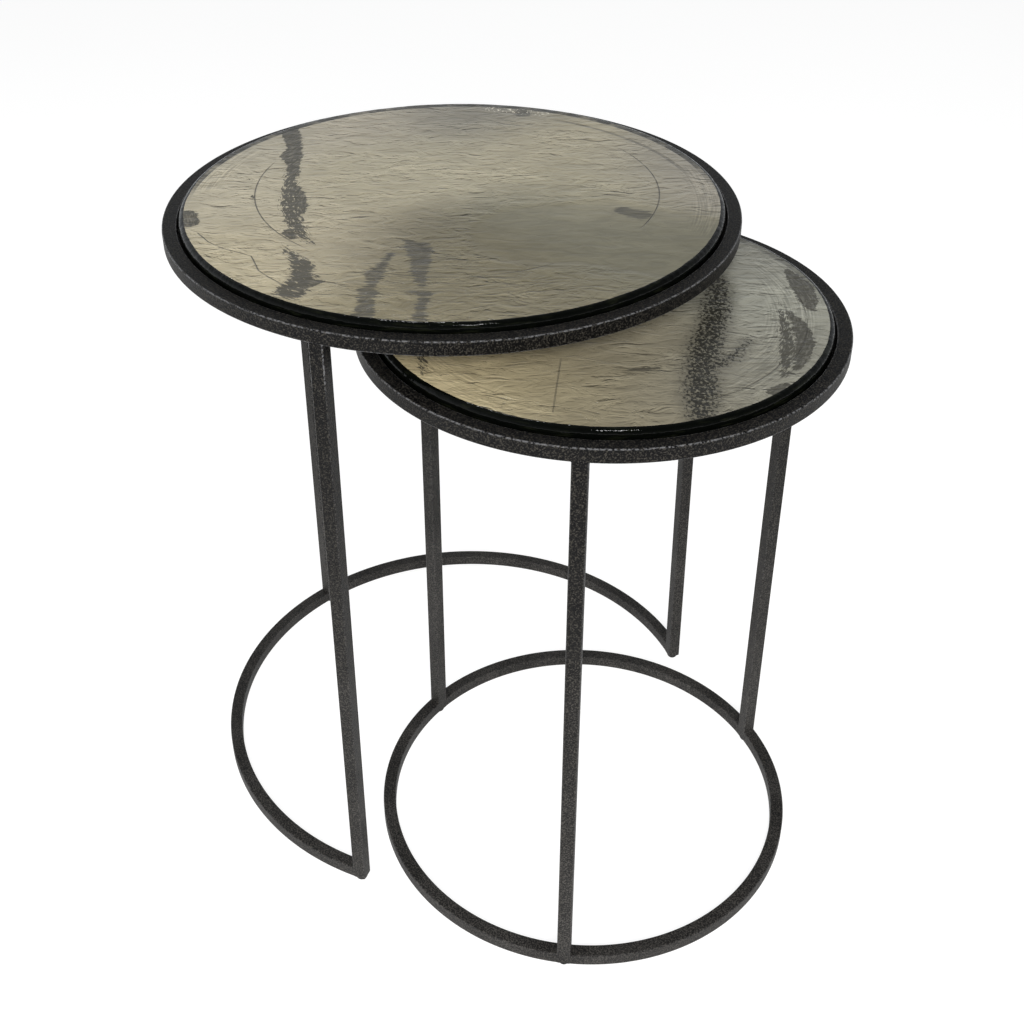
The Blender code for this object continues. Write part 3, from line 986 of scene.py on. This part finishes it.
def foil_shade_lines(paint, smears, calm):
    """1 on painted shade: short fine dark lines under the ripples, which come in patches."""
    shade_noise = paint.minus(paint.stretched(SHADE_LINE_TEXTURE, 3.0, 0.55, 1.2), 0.5)
    return paint.product(paint.rise(paint.math("ABSOLUTE", shade_noise), 0.020, 0.0), paint.rise(smears, 0.46, 0.62),
                         paint.rise(calm, 0.0, 1.0, 0.55, 0.12))


def foil_bare(paint):
    """1 where the backing is gone: bare patches with a jagged outline, and bands of fine scratches."""
    strokes = paint.strokes(SCRATCHED_LINES, 4.0, 0.65, 0.6)
    jagged = paint.noise(paint.scaled(paint.seeded, 1.0, 1.6), JAGGED_EDGES, 4.0, 0.65)
    edge = paint.plus(paint.attribute("solid"), paint.product(paint.minus(jagged, 0.5), 0.012))
    solid = paint.product(paint.rise(edge, -0.0004, 0.0004), paint.rise(strokes, 0.36, 0.56, 0.68, 0.95))
    dense = paint.rise(paint.attribute("scratched"), -0.007, 0.012, -0.32, 0.16)
    return paint.larger(solid, paint.rise(paint.plus(strokes, dense), 0.52, 0.57, 0.0, 0.92))


def foil_specks(paint):
    """(murk, blots) of the speckled bands: their darker ground, and the nearly black blots on it."""
    specks = paint.noise(paint.scaled(paint.seeded, 1.0, 0.8), SPECK_GRAIN, 4.0, 0.65, 0.3)
    inside = paint.attribute("speckled")
    dense = paint.rise(inside, -0.014, 0.014, -0.28, 0.10)
    blots = paint.product(paint.rise(paint.plus(specks, dense), 0.52, 0.58), 0.85)
    return paint.product(paint.rise(inside, -0.008, 0.010), paint.rise(specks, 0.35, 0.60, 0.35, 0.85)), blots


def foil_haze(paint):
    """Faint stains, frayed along the grain."""
    bands = paint.stretched(BAND_TEXTURE, 4.0, 0.65)
    frayed = paint.product(paint.minus(bands, 0.5), 0.022)
    hazy = paint.rise(paint.plus(paint.attribute("hazy"), frayed), -0.0008, 0.0010)
    return paint.product(hazy, paint.rise(bands, 0.34, 0.60, 0.40, 0.92))


def foil_glints(paint):
    """1 on painted glints: bright specks of light."""
    glinting = paint.rise(paint.noise(paint.scaled(paint.seeded, 1.0, 0.6), GLINT_GRAIN, 2.0, 0.7), 0.56, 0.62)
    return paint.product(glinting, paint.rise(paint.attribute("glint_marks"), -0.004, 0.003))


def foil_dots(paint):
    """Small dark dots, in about one cell of seven."""
    chosen = paint.parts(paint.cells(paint.seeded, 1 / DOT_SPACING, "Color"))["X"]
    return paint.product(paint.rise(paint.cells(paint.seeded, 1 / DOT_SPACING), 0.045, 0.025),
                         paint.rise(chosen, 0.86, 0.90), 0.85)


def past_foil(paint, table):
    """1 outside the backing's slightly uneven outline."""
    wander = paint.minus(paint.noise(paint.seeded, EDGE_WANDER, detail=3.0), 0.5)
    rim = table["glass_radius"] - GLASS_EDGE - FOIL_MARGIN
    return paint.rise(paint.plus(paint.reach, paint.product(wander, 0.003)), rim - 0.0002, rim + 0.0006)


def make_foil(table, look):
    """Aged champagne mirror backing seen through wavy cast glass."""
    paint = GlassPainter(f"{table['name']}_champagne_mirror", table, look["seed"])
    calm = paint.rise(paint.attribute("calm"), -0.012, 0.006)
    ripples = paint.stretched(RIPPLE_TEXTURE, 4.0, 0.60, 1.1)
    smears = paint.stretched(SMEAR_TEXTURE, 3.0, 0.5, 0.4)
    bare = foil_bare(paint)
    murk, blots = foil_specks(paint)
    marked = paint.larger(bare, paint.larger(murk, foil_haze(paint)))
    line = mould_lines(paint, look["arcs"], look["creases"])
    bold = look["boldness"]
    faint = paint.rise(paint.noise(paint.seeded, FAINT_PATCHES), 0.30, 0.55, 0.5 * bold, bold)
    past = past_foil(paint, table)

    shade = foil_shade(paint, ripples, smears, calm)
    # The stored tone carries painted reflection and light, and the painted ripple light and shade multiply it
    color = paint.mix(1.0, paint.attribute("tone_and_light", "Color"), shade, "MULTIPLY")
    # Over the tone: painted shade lines under the ripples, marks, blots, painted glints, mould lines, dots
    # and the bare edge
    layers = ((foil_shade_lines(paint, smears, calm), SHADE_LINE_COLOR), (marked, MARK_COLOR), (blots, BLOT_COLOR),
              (foil_glints(paint), GLINT_COLOR), (paint.product(line, faint), LINE_COLOR),
              (foil_dots(paint), DOT_COLOR), (past, BARE_EDGE_COLOR))
    for share, over in layers:
        color = paint.mix(share, color, over)

    height = paint.product(ripples, paint.rise(calm, 0.0, 1.0, 1.0, 0.25))
    normal = paint.bump(paint.minus(height, paint.product(line, 0.4)), 0.75, 0.0020)
    metal = paint.product(paint.minus(1.0, past), 0.20)
    paint.set(Base_Color=color, Metallic=metal, Roughness=paint.rise(bare, 0.0, 1.0, 0.30, 0.42),
              Specular_IOR_Level=0.15, Coat_Weight=0.22, Coat_Roughness=0.04, Coat_IOR=1.5, Normal=normal,
              Coat_Normal=normal)
    return paint.owner


# ---------------- surroundings

def make_floor():
    """Plain pale floor."""
    mesh = bpy.data.meshes.new("floor")
    rim = [(*polar(FLOOR_RADIUS, 360.0 * i / FLOOR_STEPS), 0.0) for i in range(FLOOR_STEPS)]
    mesh.from_pydata(rim, [], [tuple(range(FLOOR_STEPS))])
    floor = place_object("floor", mesh)
    paint = new_paint("pale_floor")
    clouds = paint.noise(paint.object_place(), FLOOR_CLOUDS)
    dark, light = ((grey, grey, grey, 1.0) for grey in (FLOOR_DARK, FLOOR_LIGHT))
    paint.set(Base_Color=paint.mix(clouds, dark, light), Roughness=0.9, Specular_IOR_Level=0.1,
              Emission_Color=(*WHITE, 1.0), Emission_Strength=FLOOR_GLOW)
    mesh.materials.append(paint.owner)


def make_sky():
    """Soft sky, brighter low down and on one side. Where it is seen itself, it is pale all over."""
    world = bpy.data.worlds.new("studio")
    bpy.context.scene.world = world
    paint = Painter(world)
    way = paint.node("ShaderNodeTexCoord").outputs["Generated"]
    brightest = (*polar(1.0, CAMERA_HEADING + SKY_HEADING), 0.0)
    side = paint.rise(paint.vector("DOT_PRODUCT", way, brightest), -0.9, 1.0, *SKY_SIDES)
    strength = paint.product(side, paint.rise(paint.parts(way)["Z"], 0.0, 0.95, *SKY_HEIGHTS))
    seen = paint.node("ShaderNodeLightPath").outputs["Is Camera Ray"]
    paint.set(Color=SKY_COLOR, Strength=paint.larger(strength, paint.product(seen, SKY_SEEN)))


def make_softbox(name, heading, rise, distance, size, power, mirrored, color):
    """Square soft light that faces the tables' tops."""
    light = bpy.data.lights.new(name, "AREA")
    light.shape = "SQUARE"
    light.size = size
    light.energy = power
    light.color = color
    lamp = place_object(name, light)
    out, up = polar(distance, rise)
    lamp.location = Vector(LIGHT_TARGET) + Vector((*polar(out, CAMERA_HEADING + heading), up))
    lamp.rotation_euler = (lamp.location - Vector(LIGHT_TARGET)).to_track_quat("Z", "Y").to_euler()
    lamp.visible_glossy = mirrored


def make_camera():
    """Camera that looks down across both tables."""
    data = bpy.data.cameras.new("camera")
    data.lens = CAMERA_LENS
    data.shift_y = CAMERA_SHIFT
    camera = place_object("camera", data)
    camera.location = CAMERA_PLACE
    camera.rotation_euler = (math.radians(90.0 - CAMERA_DIP), 0.0, math.radians(CAMERA_HEADING - 90.0))
    bpy.context.scene.camera = camera


# ---------------- the scene

def make_table(name, look):
    """Every piece of one table."""
    table = read_table(name)
    make_ring(table)
    make_ledge(table)
    make_glass(table, look)
    for side in table["legs"]:
        make_leg(table, side)
        make_glide(table, side)
    for side, (first, last) in base_runs(table).items():
        make_base_bar(table, side, first, last)
    make_welds(table)
    for node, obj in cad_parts.items():
        if node.startswith(f"{name}_glass_pad_"):
            obj.data.materials.clear()
            obj.data.materials.append(SILICONE)


POWDER_COAT = make_powder_coat()
RUBBER = make_rubber()
SILICONE = make_silicone()
BACKING_PAINT = make_backing_paint()
GLASS_RIM = make_glass_rim()
for table_name, table_look in LOOKS.items():
    make_table(table_name, table_look)
make_floor()
make_sky()
for light_name, settings in SOFTBOXES.items():
    make_softbox(light_name, *settings)
make_camera()
bpy.context.scene.view_settings.view_transform = "Standard"
